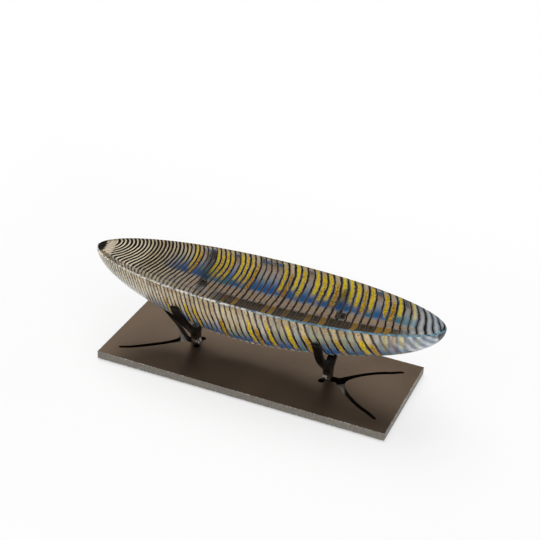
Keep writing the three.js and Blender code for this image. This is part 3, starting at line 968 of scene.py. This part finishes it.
class GLASSBOAT_OT_stage(bpy.types.Operator):
    """Make the camera, the pale floor and the light all round."""

    bl_idname = "glassboat.stage"
    bl_label = "Stage"

    def execute(self, context):
        settings = context.scene.glass_boat_stage
        scene = context.scene
        scene.view_settings.view_transform = "Standard"
        self.make_camera(scene, settings)
        self.make_floor(scene, settings)
        self.make_light(scene, settings)
        return {"FINISHED"}

    def make_camera(self, scene, settings):
        """Camera whose axes follow from azimuth, elevation and roll."""
        data = bpy.data.cameras.new("camera")
        data.lens = settings.lens
        camera = bpy.data.objects.new("camera", data)
        scene.collection.objects.link(camera)
        az, el, roll = settings.azimuth, settings.elevation, settings.roll
        ahead = np.array([-math.sin(az) * math.cos(el), math.cos(az) * math.cos(el), -math.sin(el)])
        level = np.array([math.cos(az), math.sin(az), 0.0])
        down = np.cross(ahead, level)
        right = math.cos(roll) * level + math.sin(roll) * down
        below = math.cos(roll) * down - math.sin(roll) * level
        axes = np.stack([right, -below, -ahead], axis=1)
        camera.matrix_world = Matrix.Translation(settings.place) @ Matrix(axes.tolist()).to_4x4()
        scene.camera = camera

    def make_floor(self, scene, settings):
        """Level square floor under the object."""
        side = np.linspace(-FLOOR_HALF, FLOOR_HALF, FLOOR_POINTS)
        x, y = np.meshgrid(side, side, indexing="ij")
        points = np.stack([x, y, np.zeros_like(x)], axis=-1)
        faces = grid_faces(FLOOR_POINTS, FLOOR_POINTS, False)
        mesh = bpy.data.meshes.new("floor")
        mesh.from_pydata(points.reshape(-1, 3).tolist(), [], faces.tolist())
        mesh.materials.append(pale_floor(settings))
        floor = bpy.data.objects.new("floor", mesh)
        scene.collection.objects.link(floor)

    def make_light(self, scene, settings):
        """Light from the world: white at the height of the horizon, dim above it and bright overhead, with
        two round patches that have soft edges, a weaker one in front of the object on its right and the
        brightest one behind it on its left."""
        world = bpy.data.worlds.new("studio")
        scene.world = world
        world.use_nodes = True
        tree = world.node_tree
        sky = add(tree, "ShaderNodeTexCoord").outputs["Generated"]
        height = add(tree, "ShaderNodeSeparateXYZ", {"Vector": sky}).outputs[2]
        glow = lerp(tree, ease(tree, height, *SKY_HORIZON), 1.0, settings.walls)
        glow = lerp(tree, ease(tree, height, *SKY_OVERHEAD), glow, settings.overhead)
        glow = lerp(tree, sky_patch(tree, sky, settings.fill_from, *SKY_FILL), glow, settings.fill)
        glow = lerp(tree, sky_patch(tree, sky, settings.key_from, *SKY_KEY), glow, settings.key)
        put_all(tree, tree.nodes["Background"], {"Color": WHITE, "Strength": glow})


class GLASSBOAT_OT_boat(bpy.types.Operator):
    """Make the solid glass boat with its flat polished top and the lines in its skin."""

    bl_idname = "glassboat.boat"
    bl_label = "Glass boat"

    def execute(self, context):
        settings = context.scene.glass_boat_hull
        points, along, around = boat_points(settings)
        columns, rows = points.shape[:2]
        marks = {"along": along, "around": around, "lines": line_count(points, along, around, settings)}
        faces = grid_faces(columns, rows, True)
        boat = new_piece("glass_boat", place_boat(points, settings), faces, "boat", marks)
        mesh = boat.data
        mesh.materials.append(banded_skin(settings))
        mesh.materials.append(polished_glass())
        mesh.materials.append(ground_bevel(settings))
        normals = np.empty(3 * len(mesh.polygons), dtype=np.float32)
        mesh.polygons.foreach_get("normal", normals)
        facing_up = normals.reshape(-1, 3)[:, 2]
        finishes = np.select([facing_up > TOP_LOOKS_UP, facing_up > BEVEL_LOOKS_UP], [1, 2], 0)
        mesh.polygons.foreach_set("material_index", finishes.astype(np.int32))
        mesh.shade_smooth()
        mesh.set_sharp_from_angle(angle=GLASS_CREASE)
        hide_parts("boat_hull")
        return {"FINISHED"}


class GLASSBOAT_OT_stand(bpy.types.Operator):
    """Ease the edges of the bent steel stand and give it its patina."""

    bl_idname = "glassboat.stand"
    bl_label = "Steel stand"

    def execute(self, context):
        settings = context.scene.glass_boat_stand
        stand = eased_copy("steel_stand", "cradle_stand", settings.edge, "stand")
        stand.data.materials.append(patinated_steel(settings))
        return {"FINISHED"}


class GLASSBOAT_OT_pads(bpy.types.Operator):
    """Make the four rubber pads between the forks and the glass."""

    bl_idname = "glassboat.pads"
    bl_label = "Rubber pads"

    def execute(self, context):
        settings = context.scene.glass_boat_stand
        finish = black_rubber(settings)
        for node in PADS:
            pad = eased_copy(f"rubber_{node}", node, settings.pad_edge, "stand")
            pad.data.materials.append(finish)
        return {"FINISHED"}


class GLASSBOAT_OT_feet(bpy.types.Operator):
    """Make the four felt feet under the plate."""

    bl_idname = "glassboat.feet"
    bl_label = "Felt feet"

    def execute(self, context):
        settings = context.scene.glass_boat_stand
        finish = black_felt(settings)
        for node in FEET:
            low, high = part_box(node)
            points = foot_points(low, high, settings.foot_edge)
            faces = grid_faces(*points.shape[:2], False)
            foot = new_piece(f"felt_{node}", points, faces, "stand")
            foot.data.materials.append(finish)
            foot.data.shade_smooth()
            foot.data.set_sharp_from_angle(angle=FELT_CREASE)
            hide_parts(node)
        return {"FINISHED"}


class GLASSBOAT_PT_panel(bpy.types.Panel):
    """Sidebar panel with the settings and the steps that build the object."""

    bl_idname = "GLASSBOAT_PT_panel"
    bl_label = "Glass boat"
    bl_space_type = "VIEW_3D"
    bl_region_type = "UI"
    bl_category = "Glass boat"

    def draw(self, context):
        for operator in OPERATORS:
            self.layout.operator(operator.bl_idname)
        for group, kind in SETTINGS.items():
            settings = getattr(context.scene, group)
            box = self.layout.box()
            for key in kind.__annotations__:
                box.prop(settings, key)


OPERATORS = (
    GLASSBOAT_OT_stage,
    GLASSBOAT_OT_boat,
    GLASSBOAT_OT_stand,
    GLASSBOAT_OT_pads,
    GLASSBOAT_OT_feet,
)
SETTINGS = {
    "glass_boat_hull": BoatSettings,
    "glass_boat_stand": StandSettings,
    "glass_boat_stage": StageSettings,
}
CLASSES = (*SETTINGS.values(), *OPERATORS, GLASSBOAT_PT_panel)


def register():
    """Registers the classes and gives the scene its settings."""
    for kind in CLASSES:
        bpy.utils.register_class(kind)
    for group, kind in SETTINGS.items():
        setattr(bpy.types.Scene, group, PointerProperty(type=kind))


def unregister():
    """Takes the settings and the classes away again."""
    for group in SETTINGS:
        delattr(bpy.types.Scene, group)
    for kind in reversed(CLASSES):
        bpy.utils.unregister_class(kind)


def main():
    """Builds the stage and every piece."""
    register()
    bpy.ops.glassboat.stage()
    bpy.ops.glassboat.boat()
    bpy.ops.glassboat.stand()
    bpy.ops.glassboat.pads()
    bpy.ops.glassboat.feet()


if __name__ == "__main__":
    main()
